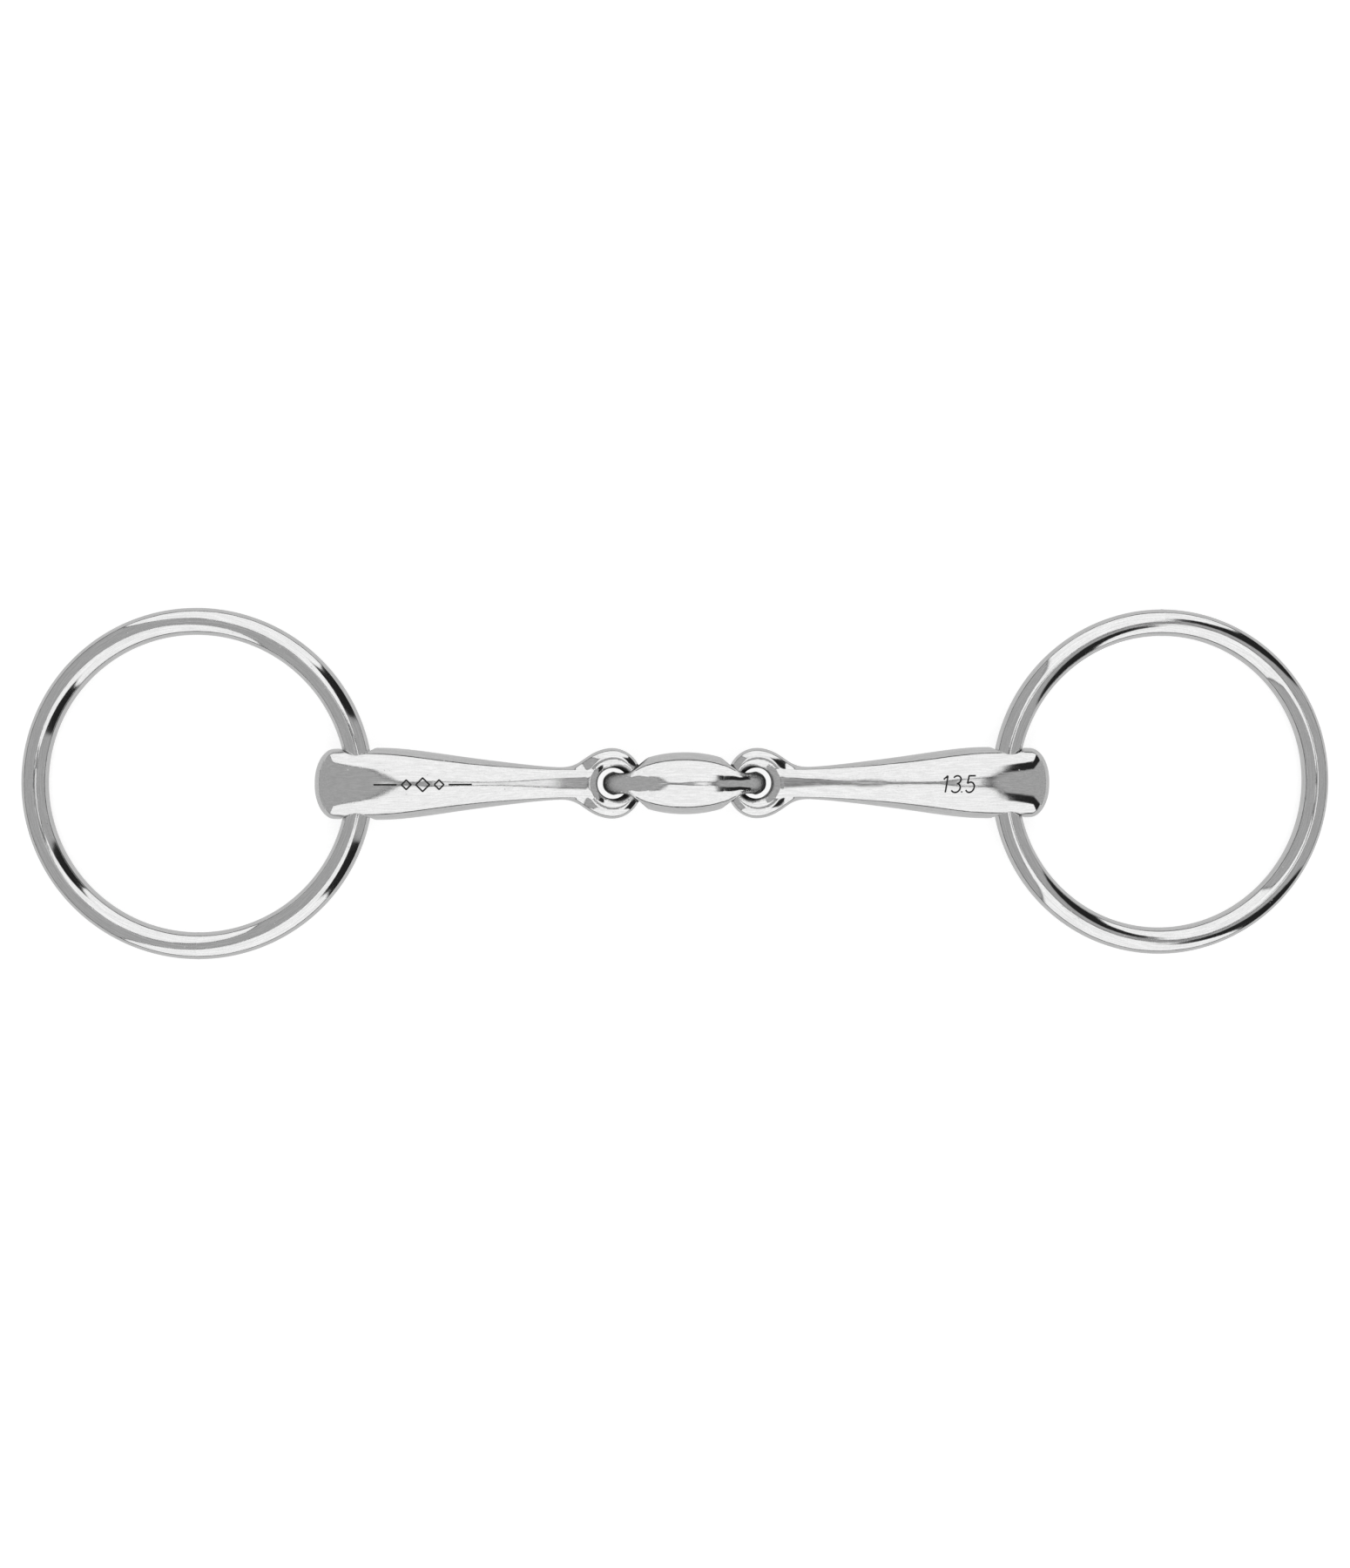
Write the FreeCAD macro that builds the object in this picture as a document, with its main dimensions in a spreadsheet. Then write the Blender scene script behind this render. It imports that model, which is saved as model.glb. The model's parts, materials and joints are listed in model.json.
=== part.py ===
import FreeCAD, Part
import os
import Sketcher

# A loose-ring snaffle bit with a lozenge link, lying flat.
# +X runs along the mouthpiece, +Y across it and +Z up. The origin is under the middle of the
# centre link, on the surface that the bit lies on. All sizes are in millimetres.
#
# Each cannon is modelled in its own frame: its origin is the middle of its ring hole and its
# +X points at its eye. Each ring is modelled about its own centre, in its own XY plane.

# Driving dimensions: alias, value and meaning.
DIMENSIONS = (
    ("mouth_width", 134.0, "between the insides of the two rings"),
    ("rod", 5.8, "diameter of the ring's rod"),
    ("ring_radius", 34.85, "ring centre to the middle of its rod"),
    ("ring_sag", 0.35, "how far the rod's middle lies inside the ring hole's axis"),
    ("ring_hole", 7.2, "diameter of the hole that the ring runs through"),
    ("ring_hole_round", 0.9, "rounding of that hole's two mouths"),
    ("butt_reach", 9.3, "ring hole axis to the end of the butt"),
    ("butt_round", 3.2, "rounding of the butt's end"),
    ("butt_half_width", 7.6, "half the width of the butt's end before rounding"),
    ("butt_half_height", 5.3, "half the height of the butt's end before rounding"),
    ("axis_height", 6.62, "height of the mouthpiece's middle above the surface"),
    ("cannon_length", 54.7, "ring hole axis to the middle of the eye"),
    ("eye_long", 6.5, "half length of the eye"),
    ("eye_wide", 7.55, "half width of the eye"),
    ("eye_thick", 4.8, "thickness of the eye"),
    ("eye_round", 1.7, "rounding of the eye's outer edge"),
    ("eye_hole", 7.0, "diameter of the eye's hole"),
    ("eye_hole_round", 0.6, "rounding of the eye hole's two mouths"),
    ("link_width", 13.4, "width of the link at its middle"),
    ("link_length", 35.4, "length of the link over its two noses"),
    ("link_height", 12.7, "height of the link"),
    ("link_nose_round", 6.1, "rounding of the noses in side view"),
    ("link_shoulder_reach", 9.8, "middle of the link to its shoulders"),
    ("link_shoulder_width", 10.6, "width of the link at its shoulders"),
    ("link_neck_reach", 12.0, "middle of the link to where its noses begin"),
    ("link_neck_width", 5.6, "width of the noses where they begin"),
    ("link_nose_width", 5.2, "width of the noses at their ends"),
    ("link_pin_reach", 11.65, "middle of the link to the axis of its cross hole"),
    ("link_hole", 6.0, "diameter of the link's cross holes"),
    ("link_hole_round", 0.8, "rounding of the cross holes' mouths"),
    ("link_turn_round", 1.5, "rounding of the shoulders and necks in plan"),
    ("link_round", 1.7, "rounding of the link's long edges"),
)

# A cannon's section at each station along it, from its ring hole:
# (station, half width, half height). The last section ends inside the eye.
CANNON_STATIONS = (
    (0.0, 7.65, 5.75),
    (7.0, 7.7, 6.35),
    (13.5, 7.1, 6.4),
    (24.0, 5.6, 5.4),
    (35.0, 4.2, 3.95),
    (44.5, 3.45, 2.95),
    (50.2, 5.2, 2.2),
)

SIDES = (("left", -1), ("right", 1))

doc = FreeCAD.newDocument("snaffle_bit")
sheet = doc.addObject("Spreadsheet::Sheet", "Dimensions")


def fill_sheet():
    """Write every driving dimension into the sheet, one row each, under its alias."""
    for row, (alias, value, meaning) in enumerate(DIMENSIONS, start=1):
        sheet.set(f"A{row}", meaning)
        sheet.set(f"B{row}", str(value))
        sheet.setAlias(f"B{row}", alias)
    row = len(DIMENSIONS)
    for number, values in enumerate(CANNON_STATIONS):
        for kind, value in zip(("station", "half_width", "half_height"), values):
            row += 1
            sheet.set(f"A{row}", f"cannon {kind} {number}")
            sheet.set(f"B{row}", str(value))
            sheet.setAlias(f"B{row}", f"cannon_{kind}_{number}")
    doc.recompute()


def size(alias):
    """A driving dimension's value."""
    return float(sheet.get(alias))


def cell(formula):
    """The formula with each name after a $ made a reference to the sheet."""
    return formula.replace("$", "Dimensions.")


def add_body(name):
    body = doc.addObject("PartDesign::Body", name)
    body.Label = name
    return body


def add_sketch(body, name, role):
    """A sketch on one of the body's own origin planes."""
    sketch = body.newObject("Sketcher::SketchObject", f"{body.Name}_{name}")
    planes = [f for f in body.Origin.OriginFeatures if f.Role == role]
    sketch.AttachmentSupport = [(planes[0], "")]
    sketch.MapMode = "FlatFace"
    return sketch


def drive(sketch, constraint, formula):
    """Add a constraint and bind its value to the sheet."""
    index = sketch.addConstraint(constraint)
    sketch.setExpression(f"Constraints[{index}]", cell(formula))


def add_ellipse(sketch, along, across, along_formula, across_formula, centre_formula=None):
    """An ellipse with its long axis along the sketch's X, or along its Y where across is longer."""
    upright = across > along
    long_end = FreeCAD.Vector(0, across, 0) if upright else FreeCAD.Vector(along, 0, 0)
    short_end = FreeCAD.Vector(-along, 0, 0) if upright else FreeCAD.Vector(0, across, 0)
    sketch.addGeometry(Part.Ellipse(long_end, short_end, FreeCAD.Vector(0, 0, 0)))
    sketch.exposeInternalGeometry(0)
    sketch.addConstraint(Sketcher.Constraint("Vertical" if upright else "Horizontal", 1))
    if centre_formula is None:
        sketch.addConstraint(Sketcher.Constraint("Coincident", 0, 3, -1, 1))
    else:
        sketch.addConstraint(Sketcher.Constraint("PointOnObject", 0, 3, -1))
        drive(sketch, Sketcher.Constraint("DistanceX", -1, 1, 0, 3, 1.0), centre_formula)
    long_formula = across_formula if upright else along_formula
    short_formula = along_formula if upright else across_formula
    drive(sketch, Sketcher.Constraint("Distance", 1, 2 * max(along, across)), f"2 * {long_formula}")
    drive(sketch, Sketcher.Constraint("Distance", 2, 2 * min(along, across)), f"2 * {short_formula}")


def edges_where(shape, test):
    """The names of the shape's edges that pass the test."""
    return [f"Edge{i}" for i, edge in enumerate(shape.Edges, start=1) if test(edge)]


def add_fillet(body, base, edges, formula):
    fillet = body.newObject("PartDesign::Fillet", f"{base.Name}_round")
    fillet.Base = (base, edges)
    fillet.Radius = 1.0
    fillet.setExpression("Radius", cell(formula))
    doc.recompute()
    return fillet


def add_pad(body, sketch, formula):
    """Pad the sketch to both sides of its plane by half the formula's length."""
    pad = body.newObject("PartDesign::Pad", f"{sketch.Name}_pad")
    pad.Profile = sketch
    pad.SideType = "Symmetric"
    pad.setExpression("Length", cell(formula))
    doc.recompute()
    return pad


def add_pocket(body, sketch, radius_formula=None, centres=()):
    """Cut the sketch through the whole body, both ways, and check that it cut something."""
    for centre in centres:
        index = sketch.addGeometry(Part.Circle(FreeCAD.Vector(0, 0, 0), FreeCAD.Vector(0, 0, 1), 1.0))
        sketch.addConstraint(Sketcher.Constraint("PointOnObject", index, 3, -1))
        drive(sketch, Sketcher.Constraint("DistanceX", -1, 1, index, 3, 1.0), centre)
        drive(sketch, Sketcher.Constraint("Radius", index, 1.0), radius_formula)
    before = body.Shape.Volume
    pocket = body.newObject("PartDesign::Pocket", f"{sketch.Name}_cut")
    pocket.Profile = sketch
    pocket.Type = "ThroughAll"
    pocket.SideType = "Symmetric"
    doc.recompute()
    assert pocket.Shape.Volume < before - 1.0, f"{pocket.Name} cut nothing"
    return pocket


def hole_mouths(shape, radius, axis):
    """The names of the edges where a round hole along the axis opens through the surface."""
    found = []
    for i, face in enumerate(shape.Faces):
        surface = face.Surface
        if not isinstance(surface, Part.Cylinder) or abs(surface.Radius - radius) > 1e-4:
            continue
        if abs(surface.Axis.dot(axis)) < 0.999:
            continue
        for edge in face.Edges:
            straight = isinstance(edge.Curve, Part.Line)
            for number, candidate in enumerate(shape.Edges, start=1):
                if not straight and candidate.isSame(edge):
                    found.append(f"Edge{number}")
    return sorted(set(found))


def make_ring(side, sign):
    """A round rod bent and welded into a ring, tilted so that its far side lies on the surface."""
    body = add_body(f"{side}_ring")
    sketch = add_sketch(body, "rod", "XZ_Plane")
    sketch.addGeometry(Part.Circle(FreeCAD.Vector(30, 0, 0), FreeCAD.Vector(0, 0, 1), 3.0))
    sketch.addConstraint(Sketcher.Constraint("PointOnObject", 0, 3, -1))
    drive(sketch, Sketcher.Constraint("DistanceX", -1, 1, 0, 3, 30.0), "$ring_radius")
    drive(sketch, Sketcher.Constraint("Diameter", 0, 5.0), "$rod")
    ring = body.newObject("PartDesign::Revolution", f"{body.Name}_bend")
    ring.Profile = sketch
    ring.ReferenceAxis = (sketch, ["V_Axis"])
    ring.Angle = 360
    drop = "asin(($axis_height - $rod / 2) / (2 * $ring_radius - $ring_sag))"
    reach = "($ring_radius - $ring_sag)"
    hole = "($mouth_width / 2 + $rod / 2 + $ring_sag)"
    body.Placement.Rotation.Axis = FreeCAD.Vector(0, 1, 0)
    body.setExpression("Placement.Rotation.Axis.y", "1")
    body.setExpression("Placement.Rotation.Angle", cell(f"{sign} * {drop}"))
    body.setExpression("Placement.Base.x", cell(f"{sign} * ({hole} + {reach} * cos({drop}))"))
    body.setExpression("Placement.Base.z", cell(f"$axis_height - {reach} * sin({drop})"))
    doc.recompute()
    return body


def make_cannon(side, sign):
    """A cannon, forged in one with its pierced butt and its eye."""
    body = add_body(f"{side}_cannon")

    eye_plan = add_sketch(body, "eye_plan", "XY_Plane")
    add_ellipse(
        eye_plan, size("eye_long"), size("eye_wide"), "$eye_long", "$eye_wide", "$cannon_length"
    )
    eye = add_pad(body, eye_plan, "$eye_thick")
    rims = edges_where(eye.Shape, lambda edge: edge.BoundBox.ZLength < 1e-3)
    add_fillet(body, eye, rims, "$eye_round")

    sections = [add_sketch(body, "butt_end", "YZ_Plane")]
    sections[0].setExpression("AttachmentOffset.Base.z", cell("-$butt_reach"))
    add_ellipse(
        sections[0], size("butt_half_width"), size("butt_half_height"), "$butt_half_width",
        "$butt_half_height",
    )
    for number, (_, half_width, half_height) in enumerate(CANNON_STATIONS):
        section = add_sketch(body, f"section_{number}", "YZ_Plane")
        section.setExpression("AttachmentOffset.Base.z", cell(f"$cannon_station_{number}"))
        width_formula, height_formula = f"$cannon_half_width_{number}", f"$cannon_half_height_{number}"
        add_ellipse(section, half_width, half_height, width_formula, height_formula)
        sections.append(section)
    loft = body.newObject("PartDesign::AdditiveLoft", f"{body.Name}_barrel")
    loft.Profile = sections[0]
    loft.Sections = sections[1:]
    doc.recompute()

    reach = -size("butt_reach")

    def at_butt_end(edge):
        box = edge.BoundBox
        return max(abs(box.XMin - reach), abs(box.XMax - reach)) < 1e-3

    end_rim = edges_where(loft.Shape, at_butt_end)
    add_fillet(body, loft, end_rim, "$butt_round")

    ring_hole = add_sketch(body, "ring_hole", "XZ_Plane")
    pocket = add_pocket(body, ring_hole, "$ring_hole / 2", ["0"])
    mouths = hole_mouths(pocket.Shape, size("ring_hole") / 2, FreeCAD.Vector(0, 1, 0))
    add_fillet(body, pocket, mouths, "$ring_hole_round")

    eye_hole = add_sketch(body, "eye_hole", "XY_Plane")
    pocket = add_pocket(body, eye_hole, "$eye_hole / 2", ["$cannon_length"])
    mouths = hole_mouths(pocket.Shape, size("eye_hole") / 2, FreeCAD.Vector(0, 0, 1))
    add_fillet(body, pocket, mouths, "$eye_hole_round")

    body.Placement.Rotation = FreeCAD.Rotation(FreeCAD.Vector(0, 0, 1), 180 if sign > 0 else 0)
    body.setExpression(
        "Placement.Base.x", cell(f"{sign} * ($mouth_width / 2 + $rod / 2 + $ring_sag)")
    )
    body.setExpression("Placement.Base.z", cell("$axis_height"))
    doc.recompute()
    return body


def make_link():
    """The centre link: a lozenge whose two noses are pierced across for the cannons' eyes."""
    body = add_body("centre_link")
    plan = add_sketch(body, "plan", "XY_Plane")
    corners = (
        ("nose", "$link_length / 2", "$link_nose_width / 2"),
        ("neck", "$link_neck_reach", "$link_neck_width / 2"),
        ("shoulder", "$link_shoulder_reach", "$link_shoulder_width / 2"),
    )
    far_side = [(corner, 1) for corner in corners] + [(corner, -1) for corner in reversed(corners)]
    outline = [(corner, end, 1) for corner, end in far_side]
    outline += [(corner, -end, -1) for corner, end in far_side]
    points = []
    for (name, _, _), end, side in outline:
        reach = size("link_length") / 2 if name == "nose" else size(f"link_{name}_reach")
        points.append(FreeCAD.Vector(end * reach, side * size(f"link_{name}_width") / 2, 0))
    for number, start in enumerate(points):
        end = points[(number + 1) % len(points)]
        if start.y == end.y:
            middle = FreeCAD.Vector(0, start.y / abs(start.y) * size("link_width") / 2, 0)
            plan.addGeometry(Part.Arc(start, middle, end))
        else:
            plan.addGeometry(Part.LineSegment(start, end))
    for number, ((_, reach_formula, half_formula), end, side) in enumerate(outline):
        before = (number - 1) % len(points)
        plan.addConstraint(Sketcher.Constraint("Coincident", before, 2, number, 1))
        along = Sketcher.Constraint("DistanceX", -1, 1, number, 1, points[number].x)
        drive(plan, along, f"{end} * {reach_formula}")
        across = Sketcher.Constraint("DistanceY", -1, 1, number, 1, points[number].y)
        drive(plan, across, f"{side} * {half_formula}")
    rise = "(($link_width - $link_shoulder_width) / 2)"
    arc_radius = f"($link_shoulder_reach * $link_shoulder_reach + {rise} * {rise}) / (2 * {rise})"
    for number, geometry in enumerate(plan.Geometry):
        if isinstance(geometry, Part.ArcOfCircle):
            drive(plan, Sketcher.Constraint("Radius", number, geometry.Radius), arc_radius)
    pad = add_pad(body, plan, "$link_height")

    def stands_upright(edge):
        return edge.BoundBox.XLength + edge.BoundBox.YLength < 1e-3

    def crosses_over(edge):
        return abs(edge.BoundBox.YMin + edge.BoundBox.YMax) < 1e-3

    def at_nose(edge):
        return abs(abs(edge.BoundBox.XMin) - size("link_length") / 2) < 1e-3

    turns = edges_where(pad.Shape, lambda edge: stands_upright(edge) and not at_nose(edge))
    turned = add_fillet(body, pad, turns, "$link_turn_round")
    nose_edges = edges_where(
        turned.Shape, lambda edge: crosses_over(edge) and at_nose(edge) and not stands_upright(edge)
    )
    rounded = add_fillet(body, turned, nose_edges, "$link_nose_round")
    long_edges = edges_where(
        rounded.Shape, lambda edge: not crosses_over(edge) and edge.BoundBox.XLength > 1e-3
    )
    softened = add_fillet(body, rounded, long_edges, "$link_round")

    cross_holes = add_sketch(body, "cross_holes", "XZ_Plane")
    pocket = add_pocket(body, cross_holes, "$link_hole / 2", ["$link_pin_reach"])
    mouths = hole_mouths(pocket.Shape, size("link_hole") / 2, FreeCAD.Vector(0, 1, 0))
    rims = add_fillet(body, pocket, mouths, "$link_hole_round")
    other_end = body.newObject("PartDesign::Mirrored", "centre_link_other_end")
    other_end.Originals = [pocket, rims]
    middle_planes = [f for f in body.Origin.OriginFeatures if f.Role == "YZ_Plane"]
    other_end.MirrorPlane = (middle_planes[0], [""])
    body.Tip = other_end
    body.setExpression("Placement.Base.z", cell("$axis_height"))
    doc.recompute()
    return body


def check_and_write(bodies):
    """Stop at any failed object or bad shape, then write one file per body."""
    for item in doc.Objects:
        assert not {"Invalid", "Error"} & set(item.State), f"{item.Name} failed: {item.State}"
    os.makedirs("parts", exist_ok=True)
    for body in bodies:
        shape = body.Shape
        assert not shape.isNull() and shape.isValid(), f"{body.Label} has no valid shape"
        assert len(shape.Solids) == 1, f"{body.Label} isn't one solid"
        shape.exportStep(f"parts/{body.Label}.step")
        print(f"{body.Label}: {shape.Volume:.1f} mm3")


fill_sheet()
pieces = [make_link()]
for side_name, side_sign in SIDES:
    pieces.append(make_cannon(side_name, side_sign))
    pieces.append(make_ring(side_name, side_sign))
doc.recompute()
check_and_write(pieces)
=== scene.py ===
import itertools
import json
import math

import bpy
import numpy as np
from mathutils import Matrix, Vector


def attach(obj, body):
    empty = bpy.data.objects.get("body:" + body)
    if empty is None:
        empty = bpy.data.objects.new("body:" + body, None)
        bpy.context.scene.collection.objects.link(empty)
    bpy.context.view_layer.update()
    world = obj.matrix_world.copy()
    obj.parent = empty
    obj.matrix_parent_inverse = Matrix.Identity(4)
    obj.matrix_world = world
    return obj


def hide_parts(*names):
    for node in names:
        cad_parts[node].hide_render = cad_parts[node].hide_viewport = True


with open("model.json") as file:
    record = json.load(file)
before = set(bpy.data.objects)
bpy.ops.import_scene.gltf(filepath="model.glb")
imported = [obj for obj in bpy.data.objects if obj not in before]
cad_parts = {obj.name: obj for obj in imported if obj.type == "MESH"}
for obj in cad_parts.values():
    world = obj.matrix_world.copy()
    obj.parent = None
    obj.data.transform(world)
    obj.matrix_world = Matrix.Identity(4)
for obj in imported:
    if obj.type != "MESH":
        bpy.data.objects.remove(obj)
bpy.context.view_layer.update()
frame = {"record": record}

# A loose-ring snaffle bit in polished steel, lying on a pale floor and seen from above.
# Every CAD node is replaced by a finer mesh of the same piece, worked out from formulas in
# millimetres and written in metres. The joints' places come from the frame, and the sizes
# below are close to the CAD sizes.

MM = 0.001
TINY = 1e-3

# ---------------------------------------------------------------- places read from the frame


def hinge(name):
    """A joint's place at rest, in millimetres."""
    found = [joint for joint in frame["record"]["behaviour"]["joints"] if joint["name"] == name]
    return np.array(found[0]["pos_m"]) / MM


AXIS_HEIGHT = hinge("left_cannon_bend")[2]
LINK_PIN_REACH = hinge("right_cannon_bend")[0]
RING_HOLE_REACH = hinge("right_ring_swing")[0]

# ---------------------------------------------------------------- sizes of the pieces

# A cannon, measured from its ring hole towards its eye.
BUTT_REACH = 9.3
BUTT_ROUND = 4.2
RING_HOLE_RADIUS = 3.45
RING_HOLE_ROUND = 0.5
EYE_CENTRE = 54.7
EYE_TIP_RADIUS = 6.5
EYE_SIDE_RADIUS = 7.55
EYE_HOLE_RADIUS = 3.35
EYE_HOLE_ROUND = 1.9
EYE_HALF_THICKNESS = 2.4
EYE_THINNING = 0.1
EYE_ROUND = 2.0
BARREL_END_ROUND = 1.0
FILLET_ON_TOP, FILLET_DEEPER = 0.4, 5.6

# The centre link. Its section grows blunter towards the noses.
LINK_NOSE_RADIUS = 6.05
LINK_HALF_HEIGHT = 6.4
LINK_ARCH_RADIUS = 48.0
LINK_HOLE_RADIUS = 3.0
LINK_HOLE_ROUND = 1.0
LINK_BLUNTING, LINK_BLUNT_FROM, LINK_BLUNT_OVER = 0.4, 8.0, 6.0

# A ring, whose rod passes RING_SAG inwards of its hole's axis, and its weld seam.
RING_RADIUS = 34.85
ROD_RADIUS = 2.9
RING_SAG = 0.35
WELD_WIDTH, WELD_HEIGHT, WELD_CROWDING = 0.35, 0.04, 0.9

# The laser marks, placed from the ring hole of the cannon that they are on.
MARK_WIDTH, MARK_LIFT, MARK_SPACING = 0.36, 0.02, 0.15
SIZE_MARK_PLACE, SIZE_MARK_HEIGHT, SIZE_MARK_SLANT = (-15.2, -1.9), 3.6, 0.16
ORNAMENT_PLACE, ORNAMENT_HEIGHT = (14.0, 0.0), 2.9

# How far the painted shade and dull finish reach from each hole's edge, and how softly they end.
LINK_HOLE_SHADE, LINK_HOLE_SHADE_FADE = 1.0, 0.6
# Where the link's noses begin, and how steep, how soft and how strong the painted shade on their sides is.
NOSE_FROM, NOSE_SHADE_BELOW, NOSE_SHADE_FADE, NOSE_SHADE_STRENGTH = 10.8, 0.82, 0.25, 0.85
EYE_HOLE_SHADE, EYE_HOLE_SHADE_NEAR_LINK, EYE_HOLE_SHADE_FADE = 0.5, 0.9, 0.5

# The boxes that hold a link and a cannon, each in its own frame, and their mesh spacing.
LINK_CORNER, LINK_STEP = np.array([18.6, 7.4, 6.9]), 0.22
CANNON_LOW, CANNON_HIGH, CANNON_STEP = (-10.1, -8.6, -7.3), (62.6, 8.6, 7.3), 0.3

# A barrel's half width, half height and squareness at even stations along it, as the control
# values of smooth curves. The first station lies beyond the butt.
BARREL_FIRST, BARREL_SPACING = -14.0, 7.0
BARREL_HALF_WIDTHS = (7.1, 7.5, 7.7, 7.85, 7.05, 6.0, 5.05, 4.2, 3.45, 3.35, 3.6)
BARREL_HALF_HEIGHTS = (1.9, 4.6, 5.7, 6.3, 6.4, 5.6, 4.75, 3.75, 3.05, 2.75, 2.6)
BARREL_SQUARENESS = (2.5, 2.5, 2.45, 2.3, 2.15, 2.05, 2.05, 2.3, 3.3, 4.0, 4.0)

# The link's half width, in the same way, from just short of its middle to past a nose.
LINK_FIRST, LINK_SPACING = -2.4, 2.4
LINK_HALF_WIDTHS = (6.65, 6.73, 6.65, 6.35, 5.85, 5.0, 3.3, 2.9, 3.1, 3.1, 3.1)

# ---------------------------------------------------------------- smooth shapes as formulas


def smooth_curve(values, first, spacing, where):
    """A cubic B-spline with evenly spaced control values, read at each place in where."""
    values = np.array(values)
    last = len(values) - 2.0001  # just short of the last span's end
    steps = np.clip((where - first) / spacing, 1.0, last)
    start = np.floor(steps).astype(int)
    t = steps - start
    weights = (
        (1 - t) ** 3,
        3 * t**3 - 6 * t**2 + 4,
        -3 * t**3 + 3 * t**2 + 3 * t + 1,
        t**3,
    )
    return sum(w * values[start - 1 + i] for i, w in enumerate(weights)) / 6


def blend_union(a, b, reach):
    """The union of two shapes with a smooth fillet between them."""
    overlap = np.maximum(reach - np.abs(a - b), 0) / reach
    return np.minimum(a, b) - overlap**3 * reach / 6


def round_cut(a, b, radius):
    """What two shapes share, with a rounded edge between them."""
    u, v = np.maximum(a + radius, 0), np.maximum(b + radius, 0)
    return np.hypot(u, v) + np.minimum(np.maximum(a, b) + radius, 0) - radius


def oval(y, z, half_width, half_height, squareness):
    """Below zero inside an oval section: an ellipse at a squareness of 2, boxier above it."""
    across = np.abs(y / half_width) ** squareness + np.abs(z / half_height) ** squareness
    return (across ** (1 / squareness) - 1) * np.minimum(half_width, half_height)


def cannon_field(p):
    """Below zero inside a cannon. Its ring hole is at the origin and its eye towards +X."""
    x, y, z = p.T
    half_width = smooth_curve(BARREL_HALF_WIDTHS, BARREL_FIRST, BARREL_SPACING, x)
    half_height = smooth_curve(BARREL_HALF_HEIGHTS, BARREL_FIRST, BARREL_SPACING, x)
    squareness = smooth_curve(BARREL_SQUARENESS, BARREL_FIRST, BARREL_SPACING, x)
    barrel = oval(y, z, half_width, half_height, squareness)
    barrel = round_cut(barrel, -BUTT_REACH - x, BUTT_ROUND)
    along = x - EYE_CENTRE
    barrel = round_cut(barrel, along, BARREL_END_ROUND)
    radius = np.hypot(along, y)
    to_tip = np.maximum(along, 0) / np.maximum(radius, TINY)
    outer = EYE_SIDE_RADIUS + (EYE_TIP_RADIUS - EYE_SIDE_RADIUS) * to_tip**2
    half_thickness = EYE_HALF_THICKNESS - EYE_THINNING * np.clip(along / EYE_TIP_RADIUS, -1, 1)
    eye = round_cut(radius - outer, np.abs(z) - half_thickness, EYE_ROUND)
    # The fillet is deep in the crotch at mid height and shallow along the top of the neck.
    depth = np.clip(1 - (z / half_thickness) ** 2, 0, 1)
    fillet = FILLET_ON_TOP + FILLET_DEEPER * depth
    body = blend_union(barrel, eye, fillet)
    body = round_cut(body, EYE_HOLE_RADIUS - radius, EYE_HOLE_ROUND)
    return round_cut(body, RING_HOLE_RADIUS - np.hypot(x, z), RING_HOLE_ROUND)


def link_field(p):
    """Below zero inside the centre link, about its own middle."""
    x, y, z = np.abs(p.T)
    half_width = smooth_curve(LINK_HALF_WIDTHS, LINK_FIRST, LINK_SPACING, x)
    half_height = LINK_HALF_HEIGHT - x**2 / (2 * LINK_ARCH_RADIUS)
    beyond = np.maximum(x - LINK_PIN_REACH, 0) / LINK_NOSE_RADIUS
    rise = np.hypot(z / half_height, beyond)
    bluntness = 2 + LINK_BLUNTING * np.clip((x - LINK_BLUNT_FROM) / LINK_BLUNT_OVER, 0, 1)
    section = ((y / half_width) ** bluntness + rise**bluntness) ** (1 / bluntness)
    body = (section - 1) * np.minimum(half_width, half_height)
    hole = LINK_HOLE_RADIUS - np.hypot(x - LINK_PIN_REACH, z)
    return round_cut(body, hole, LINK_HOLE_ROUND)


def slopes(field, points, reach=TINY):
    """The field's gradient at each point."""
    found = np.empty_like(points)
    for axis in range(3):
        shift = np.zeros(3)
        shift[axis] = reach
        found[:, axis] = (field(points + shift) - field(points - shift)) / (2 * reach)
    return found


def settle(field, points, rounds=4, gentlest=0.05, furthest=0.4):
    """Move each point along the slope onto the surface."""
    for _ in range(rounds):
        slope = slopes(field, points)
        steep = np.maximum((slope**2).sum(1), gentlest)
        away = np.clip(field(points), -furthest, furthest)
        points = points - slope * (away / steep)[:, None]
    return points


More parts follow.
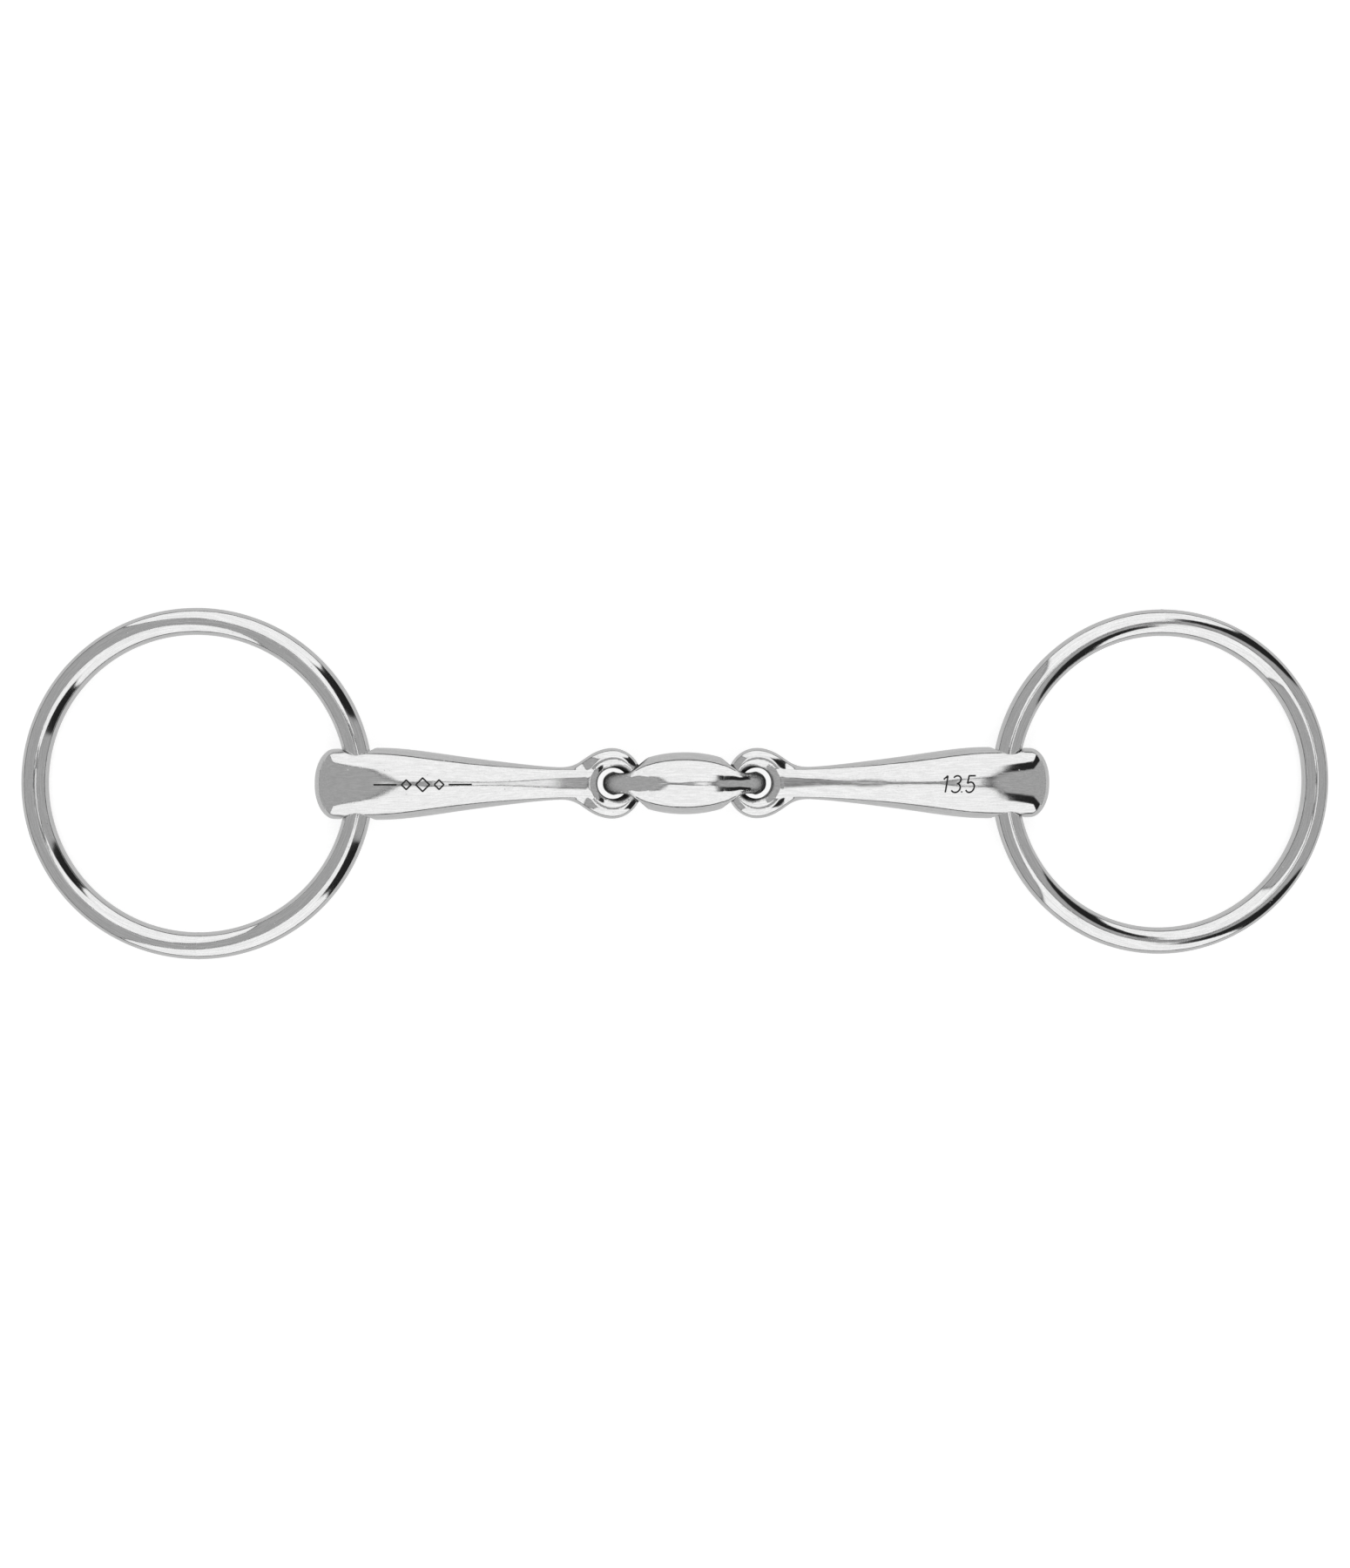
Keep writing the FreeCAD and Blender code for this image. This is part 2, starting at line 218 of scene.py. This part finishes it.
def net(field, low, high, step, rounds=8, stay=0.4):
    """An even quad mesh of the surface where the field is zero."""
    axes = [np.arange(a, b + step, step) for a, b in zip(low, high)]
    grid = np.stack(np.meshgrid(*axes, indexing="ij"), -1)
    inside = field(grid.reshape(-1, 3)).reshape(grid.shape[:3]) < 0
    cells = tuple(n - 1 for n in inside.shape)
    corners = [
        inside[i : i + cells[0], j : j + cells[1], k : k + cells[2]]
        for i, j, k in itertools.product((0, 1), repeat=3)
    ]
    count = sum(corner.astype(int) for corner in corners)
    mixed = (count > 0) & (count < len(corners))
    number = np.full(cells, -1)
    number[mixed] = np.arange(mixed.sum())
    points = np.array(low) + (np.argwhere(mixed) + 0.5) * step

    quads = []
    for axis in range(3):
        first, second = (axis + 1) % 3, (axis + 2) % 3
        here = np.moveaxis(inside, (axis, first, second), (0, 1, 2))
        cell = np.moveaxis(number, (axis, first, second), (0, 1, 2))
        for outward, spots in (
            (True, np.argwhere(here[:-1, 1:-1, 1:-1] & ~here[1:, 1:-1, 1:-1])),
            (False, np.argwhere(~here[:-1, 1:-1, 1:-1] & here[1:, 1:-1, 1:-1])),
        ):
            i, j, k = spots.T
            around = [cell[i, j + a, k + b] for a, b in ((0, 0), (1, 0), (1, 1), (0, 1))]
            quads.append(np.stack(around if outward else around[::-1], 1))
    quads = np.concatenate(quads)

    # Each point is drawn to the middle of its neighbours and back onto the surface.
    points = settle(field, points, 6)
    edges = np.concatenate([quads[:, [i, (i + 1) % 4]] for i in range(4)])
    for _ in range(rounds):
        total = np.zeros_like(points)
        np.add.at(total, edges[:, 0], points[edges[:, 1]])
        share = np.bincount(edges[:, 0], minlength=len(points))[:, None]
        points = settle(field, stay * points + (1 - stay) * total / share, 2)
    points = settle(field, points)
    return points, quads


def unit(vectors):
    return vectors / np.linalg.norm(vectors, axis=1)[:, None]


def add_mesh(name, points, faces, normals, painted_shade_and_dullness, grain):
    """A mesh object in metres from points in millimetres, with its normals set.

    The shader reads two values at each point: a mask that is 1 inside a hole, where the shader
    paints shade on the steel and dulls it, and grain is a place in millimetres whose first axis
    follows the polishing lines.
    """
    mesh = bpy.data.meshes.new(name)
    mesh.from_pydata((points * MM).tolist(), [], np.asarray(faces).tolist())
    mesh.validate()
    mesh.shade_smooth()
    mesh.normals_split_custom_set_from_vertices(normals.tolist())
    holes = mesh.attributes.new("painted_shade_and_dullness", "FLOAT", "POINT")
    holes.data.foreach_set("value", painted_shade_and_dullness.astype(np.float32))
    lines = mesh.attributes.new("grain", "FLOAT_VECTOR", "POINT")
    lines.data.foreach_set("vector", grain.astype(np.float32).ravel())
    piece = bpy.data.objects.new(name, mesh)
    bpy.context.collection.objects.link(piece)
    return piece


def place(points, normals, sign):
    """From a cannon's own frame to the whole bit's: turned half round for the right one."""
    turn = np.array([-sign, -sign, 1.0])
    return points * turn + np.array([sign * RING_HOLE_REACH, 0, AXIS_HEIGHT]), normals * turn


# ---------------------------------------------------------------- materials


def connect(tree, value, socket):
    """Link a node's output to a socket, or set the socket to a constant."""
    if isinstance(value, bpy.types.NodeSocket):
        tree.links.new(value, socket)
    else:
        socket.default_value = value


def node(tree, kind, **settings):
    """A new node, with each setting given to the input or the property of that name."""
    made = tree.nodes.new(kind)
    for name, value in settings.items():
        if name in made.inputs:
            connect(tree, value, made.inputs[name])
        else:
            setattr(made, name, value)
    return made


def sums(tree, operation, *values):
    """The output of one Math node."""
    made = tree.nodes.new("ShaderNodeMath")
    made.operation = operation
    for socket, value in zip(made.inputs, values):
        connect(tree, value, socket)
    return made.outputs[0]


def times(tree, a, b):
    return sums(tree, "MULTIPLY", a, b)


def less(tree, a, b):
    return sums(tree, "SUBTRACT", a, b)


def beyond(tree, value, limit):
    """How far a value is past a limit, and zero short of it."""
    return sums(tree, "MAXIMUM", less(tree, value, limit), 0.0)


def ramp(tree, value, start, end, low=0.0, high=1.0):
    """A smooth step of the value from low at start to high at end."""
    made = tree.nodes.new("ShaderNodeMapRange")
    made.interpolation_type = "SMOOTHSTEP"
    for socket, setting in zip(made.inputs, (value, start, end, low, high)):
        connect(tree, setting, socket)
    return made.outputs[0]


def noise(tree, place_of, scale, detail, roughness=0.5):
    """A noise from 0 to 1, of so many features to the unit of its place."""
    made = node(tree, "ShaderNodeTexNoise", Vector=place_of, Scale=scale, Detail=detail, Roughness=roughness)
    return made.outputs["Fac"]


def bumps(tree, layers):
    """Bump nodes one on another, from (height, strength, distance) layers."""
    normal = None
    for height, strength, distance in layers:
        bump = node(tree, "ShaderNodeBump", Height=height, Strength=strength, Distance=distance)
        if normal is not None:
            tree.links.new(normal, bump.inputs["Normal"])
        normal = bump.outputs["Normal"]
    return normal


def polished_steel():
    """Bright steel: fine lines along each piece, faint waves and specks, and duller holes with painted
    shade.
    """
    material = bpy.data.materials.new("polished_steel")
    material.use_nodes = True
    tree = material.node_tree
    tree.nodes.clear()
    place_of = node(tree, "ShaderNodeTexCoord").outputs["Object"]
    painted_shade_and_dullness = node(tree, "ShaderNodeAttribute", attribute_name="painted_shade_and_dullness").outputs["Fac"]
    grain = node(tree, "ShaderNodeAttribute", attribute_name="grain").outputs["Vector"]
    drawn_out = node(tree, "ShaderNodeMapping", Vector=grain, Scale=(0.06, 1.0, 1.0))
    lines = noise(tree, drawn_out.outputs["Vector"], scale=3.2, detail=5.0, roughness=0.75)
    waves = noise(tree, place_of, scale=170.0, detail=2.0)
    specks = noise(tree, place_of, scale=2600.0, detail=4.0, roughness=0.7)
    cast = noise(tree, place_of, scale=900.0, detail=6.0, roughness=0.65)
    pits = node(tree, "ShaderNodeTexVoronoi", Vector=place_of, Scale=420.0, Randomness=1.0)
    pit = ramp(tree, pits.outputs["Distance"], start=0.03, end=0.07, low=1.0, high=0.0)

    tone = ramp(tree, lines, start=0.35, end=0.7, low=0.72, high=0.86)
    tone = times(tree, tone, ramp(tree, specks, start=0.3, end=0.6, low=0.94, high=1.0))
    # Painted shade: the steel's colour is darkened where the hole mask is high, in the holes and on the
    # link's nose sides.
    tone = times(tree, tone, sums(tree, "MULTIPLY_ADD", painted_shade_and_dullness, -0.85, 1.0))
    colour = node(tree, "ShaderNodeCombineColor", Red=tone, Green=tone, Blue=tone)
    rough = sums(tree, "MULTIPLY_ADD", lines, 0.1, 0.03)
    rough = sums(tree, "MULTIPLY_ADD", painted_shade_and_dullness, 0.3, rough)
    normal = bumps(
        tree,
        (
            (waves, 0.08, 0.0004),
            (lines, 0.1, 0.00005),
            (pit, 0.25, -0.0001),
            (times(tree, cast, painted_shade_and_dullness), 1.0, 0.0006),
        ),
    )
    shader = node(tree, "ShaderNodeBsdfPrincipled", Metallic=1.0, Roughness=rough, Normal=normal)
    tree.links.new(colour.outputs["Color"], shader.inputs["Base Color"])
    output = node(tree, "ShaderNodeOutputMaterial")
    tree.links.new(shader.outputs["BSDF"], output.inputs["Surface"])
    return material


def laser_mark():
    """A dark, dull, faintly speckled mark."""
    material = bpy.data.materials.new("laser_mark")
    material.use_nodes = True
    tree = material.node_tree
    shader = tree.nodes["Principled BSDF"]
    place_of = node(tree, "ShaderNodeTexCoord").outputs["Object"]
    speckle = noise(tree, place_of, scale=4000.0, detail=3.0)
    tone = ramp(tree, speckle, start=0.3, end=0.7, low=0.015, high=0.06)
    colour = node(tree, "ShaderNodeCombineColor", Red=tone, Green=tone, Blue=tone)
    tree.links.new(colour.outputs["Color"], shader.inputs["Base Color"])
    shader.inputs["Roughness"].default_value = 0.75
    shader.inputs["Specular IOR Level"].default_value = 0.1
    return material


STEEL = polished_steel()
MARK = laser_mark()

# ---------------------------------------------------------------- the five pieces


def finish_piece(piece, body):
    """Steel on a piece that stands in for the CAD node of the same body."""
    piece.data.materials.append(STEEL)
    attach(piece, body)
    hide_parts(body)


def make_link():
    points, quads = net(link_field, -LINK_CORNER, LINK_CORNER, LINK_STEP)
    normals = unit(slopes(link_field, points))
    pin = np.hypot(np.abs(points[:, 0]) - LINK_PIN_REACH, points[:, 2])
    # Painted shade, with a duller finish, in the link's holes.
    painted_shade_and_dullness = np.clip((LINK_HOLE_RADIUS + LINK_HOLE_SHADE - pin) / LINK_HOLE_SHADE_FADE, 0, 1)
    # The noses' steep sides get painted shade as well, as from the eyes around them, and a duller finish.
    on_nose = np.clip(np.abs(points[:, 0]) - NOSE_FROM, 0, 1)
    nose_side_shade = on_nose * np.clip((NOSE_SHADE_BELOW - np.abs(normals[:, 2])) / NOSE_SHADE_FADE, 0, 1)
    painted_shade_and_dullness = np.maximum(painted_shade_and_dullness, NOSE_SHADE_STRENGTH * nose_side_shade)
    placed = points + [0, 0, AXIS_HEIGHT]
    piece = add_mesh("centre_link_forging", placed, quads, normals, painted_shade_and_dullness, points)
    finish_piece(piece, "centre_link")


def make_cannons():
    points, quads = net(cannon_field, CANNON_LOW, CANNON_HIGH, CANNON_STEP)
    normals = unit(slopes(cannon_field, points))
    to_eye = np.hypot(points[:, 0] - EYE_CENTRE, points[:, 1])
    # Painted shade, with a duller finish, darkens the eye hole's edge, and reaches furthest towards the
    # link.
    to_link = (points[:, 0] - EYE_CENTRE) / np.maximum(to_eye, TINY)
    wider = EYE_HOLE_SHADE_NEAR_LINK * np.clip(0.3 + to_link, 0, 1)
    painted_shade_and_dullness = np.clip((EYE_HOLE_RADIUS + EYE_HOLE_SHADE + wider - to_eye) / EYE_HOLE_SHADE_FADE, 0, 1)
    for side, sign in (("left", -1), ("right", 1)):
        placed, turned = place(points, normals, sign)
        piece = add_mesh(f"{side}_cannon_forging", placed, quads, turned, painted_shade_and_dullness, placed)
        finish_piece(piece, f"{side}_cannon")


def top_of_cannon(along, across, start=8.0, rounds=40):
    """Points just above a cannon's upper side, and the normals there."""
    points = np.stack([along, across, np.full_like(along, start)], 1)
    for _ in range(rounds):
        points[:, 2] -= 0.6 * np.maximum(cannon_field(points), -0.5)
    normals = unit(slopes(cannon_field, points))
    return points + normals * MARK_LIFT, normals


def polyline(corners):
    """Even points along a line through the corners."""
    pieces = []
    for start, end in zip(corners[:-1], corners[1:]):
        steps = max(2, int(math.dist(start, end) / MARK_SPACING))
        share = np.linspace(0, 1, steps + 1)[:, None]
        pieces.append(np.array(start) * (1 - share) + np.array(end) * share)
    return np.concatenate(pieces)


def arc(centre, radius_x, radius_y, start, end):
    """Points along part of an oval, between two angles in degrees."""
    turn = np.radians(np.linspace(start, end, 14))
    return [(centre[0] + radius_x * math.cos(t), centre[1] + radius_y * math.sin(t)) for t in turn]


def mark_strokes():
    """Each figure of 13.5 as its start along the line and its strokes, upright and 1 high."""
    three = arc((0.28, 0.76), 0.24, 0.24, 150, -80) + arc((0.28, 0.27), 0.27, 0.27, 80, -150)
    five = [(0.5, 1.0), (0.1, 1.0), (0.06, 0.55)] + arc((0.25, 0.31), 0.26, 0.31, 110, -150)
    return (
        (0.0, [[(0.0, 0.78), (0.22, 1.0), (0.22, 0.0)]]),
        (0.52, [three]),
        (1.2, [[(0.0, 0.0), (0.0, 0.07)]]),
        (1.4, [five]),
    )


def ornament_strokes():
    """A plain ornament: a row of three lozenges between two short lines."""
    strokes = []
    for middle, half in ((-1.2, 0.35), (0.0, 0.5), (1.2, 0.35)):
        left, right = (middle - half, 0), (middle + half, 0)
        strokes.append([left, (middle, half), right, (middle, -half), left])
    strokes += [[(-3.6, 0), (-1.9, 0)], [(1.9, 0), (3.6, 0)]]
    return strokes


def engrave(name, side, sign, strokes, start, height, slant):
    """Dark laser marks on a cannon's upper side, reading left to right, start from its ring hole."""
    points, normals, faces = [], [], []
    for corners in strokes:
        line = polyline(corners) * height
        line[:, 0] += slant * line[:, 1]
        step = np.gradient(line, axis=0)
        step /= np.maximum(np.linalg.norm(step, axis=1), 1e-9)[:, None]
        sideways = np.stack([-step[:, 1], step[:, 0]], 1) * MARK_WIDTH / 2
        first = sum(len(part) for part in points)
        edges = np.concatenate([line + sideways, line - sideways]) + start
        # A cannon's own frame is turned half round on the right.
        placed, turned = top_of_cannon(-sign * edges[:, 0], -sign * edges[:, 1])
        placed, turned = place(placed, turned, sign)
        points.append(placed)
        normals.append(turned)
        count = len(line)
        here = first + np.arange(count - 1)
        faces.append(np.stack([here + count, here + count + 1, here + 1, here], 1))
    mesh_points, mesh_normals = np.concatenate(points), np.concatenate(normals)
    zeros = np.zeros(len(mesh_points))
    piece = add_mesh(name, mesh_points, np.concatenate(faces), mesh_normals, zeros, mesh_points)
    piece.data.materials.append(MARK)
    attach(piece, f"{side}_cannon")


def make_marks():
    size_mark = []
    for offset, figures in mark_strokes():
        size_mark += [[(x + offset, y) for x, y in figure] for figure in figures]
    engrave("right_size_mark", "right", 1, size_mark, SIZE_MARK_PLACE, SIZE_MARK_HEIGHT, SIZE_MARK_SLANT)
    engrave("left_ornament", "left", -1, ornament_strokes(), ORNAMENT_PLACE, ORNAMENT_HEIGHT, 0.0)


def make_rings(around=540, across=48, grain_radius=4):
    """Both rings: round rods bent into circles, with points even across and denser at the weld."""
    drop = math.asin((AXIS_HEIGHT - ROD_RADIUS) / (2 * RING_RADIUS - RING_SAG))
    reach = RING_RADIUS - RING_SAG
    round_ring = np.arange(around) * 2 * np.pi / around
    round_rod = np.arange(across) * 2 * np.pi / across
    turn, tilt = np.meshgrid(round_ring, round_rod, indexing="ij")
    # The points crowd together at the weld, which stands at the top of the ring.
    turn = turn - WELD_CROWDING * np.sin(turn)
    from_weld = RING_RADIUS * (turn - np.pi * np.round(turn / np.pi / 2) * 2)
    turn = turn + np.pi / 2
    radius = ROD_RADIUS + WELD_HEIGHT * np.exp(-((from_weld / WELD_WIDTH) ** 2))[..., None]
    out = np.stack([np.cos(turn), np.sin(turn), np.zeros_like(turn)], -1)
    normals = out * np.cos(tilt)[..., None] + np.array([0, 0, 1.0]) * np.sin(tilt)[..., None]
    points = RING_RADIUS * out + radius * normals
    # The polishing lines run round the ring, so they are laid out from its seam.
    rod = grain_radius * np.cos(tilt), grain_radius * np.sin(tilt)
    grain = np.stack([RING_RADIUS * turn, *rod], -1).reshape(-1, 3)
    index = np.arange(around * across).reshape(around, across)
    after, above = np.roll(index, -1, 0), np.roll(index, -1, 1)
    quads = np.stack([index, after, np.roll(after, -1, 1), above], -1).reshape(-1, 4)
    for side, sign in (("left", -1), ("right", 1)):
        # The ring leans outwards and down, from its hole in the barrel to the floor.
        outwards = np.array([sign * math.cos(drop), 0, -math.sin(drop)])
        upwards = np.array([sign * math.sin(drop), 0, math.cos(drop)])
        lean = np.stack([outwards, [0, sign, 0], upwards])
        centre = np.array([sign * RING_HOLE_REACH, 0, AXIS_HEIGHT]) + outwards * reach
        placed = points.reshape(-1, 3) @ lean + centre
        turned = normals.reshape(-1, 3) @ lean
        no_holes = np.zeros(len(placed))
        piece = add_mesh(f"{side}_ring_rod", placed, quads, turned, no_holes, grain)
        finish_piece(piece, f"{side}_ring")


make_link()
make_cannons()
make_marks()
make_rings()

# ---------------------------------------------------------------- floor, light and camera


def make_floor(half=3.0):
    """A pale floor that the steel doesn't mirror."""
    mesh = bpy.data.meshes.new("floor")
    corners = [(x * half, y * half, 0) for x, y in ((-1, -1), (1, -1), (1, 1), (-1, 1))]
    mesh.from_pydata(corners, [], [(0, 1, 2, 3)])
    floor = bpy.data.objects.new("floor", mesh)
    bpy.context.collection.objects.link(floor)
    material = bpy.data.materials.new("pale_floor")
    material.use_nodes = True
    shader = material.node_tree.nodes["Principled BSDF"]
    shader.inputs["Base Color"].default_value = (0.6, 0.6, 0.6, 1)
    shader.inputs["Roughness"].default_value = 0.9
    shader.inputs["Emission Color"].default_value = (1, 1, 1, 1)
    shader.inputs["Emission Strength"].default_value = 0.7
    mesh.materials.append(material)
    floor.visible_glossy = False


# What the steel mirrors, by the direction's X, Y and Z. First how bright each part is.
BOX_LIGHT, WALL_LIGHT, CARD_LIGHT, STRIP_LIGHT = 1.08, 0.42, 0.42, 1.0
DARK_LIGHT, TABLE_LIGHT, BACKDROP_LIGHT = 0.02, 0.62, 0.95
# The walls' near edges slant away from X as Y grows, and bend further past WALL_BEND_FROM.
LEFT_WALL_FROM, RIGHT_WALL_FROM = -0.11, 0.3
WALL_SLANT, WALL_BEND, WALL_BEND_FROM = 0.21, 0.7, 0.45
# The right wall is no wider in Y than this at X = 0, and widens with X.
RIGHT_WALL_HALF_WIDTH, RIGHT_WALL_SPREAD = 0.13, 0.31
# The boxes' far ends in X, which move out past BOX_END_BEND_FROM in Y.
BOX_END, BOX_END_BLURRED, BOX_END_BEND, BOX_END_BEND_FROM = 0.33, 0.37, 1.8, 0.55


def studio_world():
    """Soft white boxes towards +Y and -Y, grey walls towards +X and -X, and a light table."""
    world = bpy.data.worlds.new("studio")
    bpy.context.scene.world = world
    world.use_nodes = True
    tree = world.node_tree
    tree.nodes.clear()
    direction = node(tree, "ShaderNodeTexCoord").outputs["Generated"]
    x, y, z = node(tree, "ShaderNodeSeparateXYZ", Vector=direction).outputs
    wide_y = sums(tree, "ABSOLUTE", y)

    # Past these slanting lines the boxes give way to a grey wall on each side.
    slant = times(tree, wide_y, WALL_SLANT)
    bend = sums(tree, "MULTIPLY_ADD", beyond(tree, wide_y, WALL_BEND_FROM), WALL_BEND, slant)
    past_left = less(tree, less(tree, LEFT_WALL_FROM, x), bend)
    past_right = less(tree, less(tree, x, RIGHT_WALL_FROM), bend)
    left_wall = ramp(tree, past_left, 0.008, 0.02, 0.0, WALL_LIGHT)
    right_wall = ramp(tree, past_right, 0.008, 0.02, 0.0, WALL_LIGHT)
    right_limit = sums(tree, "MULTIPLY_ADD", x, RIGHT_WALL_SPREAD, RIGHT_WALL_HALF_WIDTH)
    within = ramp(tree, less(tree, wide_y, right_limit), -0.02, 0.02, 1.0, 0.0)
    right_wall = times(tree, right_wall, within)

    # The boxes, with a gap overhead between them that widens towards +X.
    box = ramp(tree, past_left, -0.02, 0.0, 1.0, 0.0)
    box = times(tree, box, ramp(tree, past_right, -0.02, 0.0, 1.0, 0.0))
    gap = ramp(tree, x, 0.0, 0.12, 0.05, 0.11)
    inwards = less(tree, wide_y, gap)
    box = times(tree, box, ramp(tree, inwards, 0.0, 0.015))
    box_end = sums(tree, "MULTIPLY_ADD", beyond(tree, wide_y, BOX_END_BEND_FROM), -BOX_END_BEND, x)
    box = times(tree, box, ramp(tree, box_end, BOX_END, BOX_END_BLURRED, 1.0, 0.0))

    # Between the boxes: a grey card overhead and a white strip beside it.
    card = times(tree, ramp(tree, x, -0.2, -0.18), ramp(tree, x, 0.125, 0.14, CARD_LIGHT, 0.0))
    strip = times(tree, ramp(tree, x, 0.135, 0.15), ramp(tree, x, 0.28, 0.295, STRIP_LIGHT, 0.0))
    between = sums(tree, "ADD", card, strip)
    between = times(tree, between, ramp(tree, inwards, -0.03, -0.018, 1.0, 0.0))

    light = sums(tree, "ADD", sums(tree, "ADD", left_wall, right_wall), between)
    light = sums(tree, "MULTIPLY_ADD", box, BOX_LIGHT, light)
    light = sums(tree, "ADD", light, DARK_LIGHT)
    # All of that stands above the horizon, and below it lies the table.
    light = times(tree, light, ramp(tree, z, -0.09, -0.05))
    table = ramp(tree, z, -0.17, -0.14, 1.0, 0.0)
    light = sums(tree, "MULTIPLY_ADD", table, TABLE_LIGHT, light)

    # Seen directly, the world is an even pale backdrop.
    seen = node(tree, "ShaderNodeLightPath").outputs["Is Camera Ray"]
    light = times(tree, light, less(tree, 1.0, seen))
    light = sums(tree, "MULTIPLY_ADD", seen, BACKDROP_LIGHT, light)
    background = node(tree, "ShaderNodeBackground", Strength=light, Color=(1, 1, 1, 1))
    output = node(tree, "ShaderNodeOutputWorld")
    tree.links.new(background.outputs["Background"], output.inputs["Surface"])


CAMERA_DISTANCE, CAMERA_LENS = 0.6, 63.0
CAMERA_FROM_LEFT, CAMERA_FROM_ABOVE = math.radians(3.28), math.radians(2.01)
CAMERA_TARGET = Vector((-0.0017, -0.0004, 0.0))


def make_camera():
    """A camera almost straight above the bit, tipped a little to its left and its far side."""
    view = Vector(
        (
            -math.sin(CAMERA_FROM_LEFT) * math.cos(CAMERA_FROM_ABOVE),
            math.sin(CAMERA_FROM_ABOVE),
            math.cos(CAMERA_FROM_LEFT) * math.cos(CAMERA_FROM_ABOVE),
        )
    )
    right = Vector((0, 1, 0)).cross(view).normalized()
    up = view.cross(right)
    data = bpy.data.cameras.new("camera")
    data.lens = CAMERA_LENS
    data.clip_start = 0.01
    camera = bpy.data.objects.new("camera", data)
    camera.location = CAMERA_TARGET + view * CAMERA_DISTANCE
    camera.rotation_euler = Matrix((right, up, view)).transposed().to_euler()
    bpy.context.collection.objects.link(camera)
    bpy.context.scene.camera = camera


make_floor()
studio_world()
make_camera()
bpy.context.scene.view_settings.view_transform = "Standard"
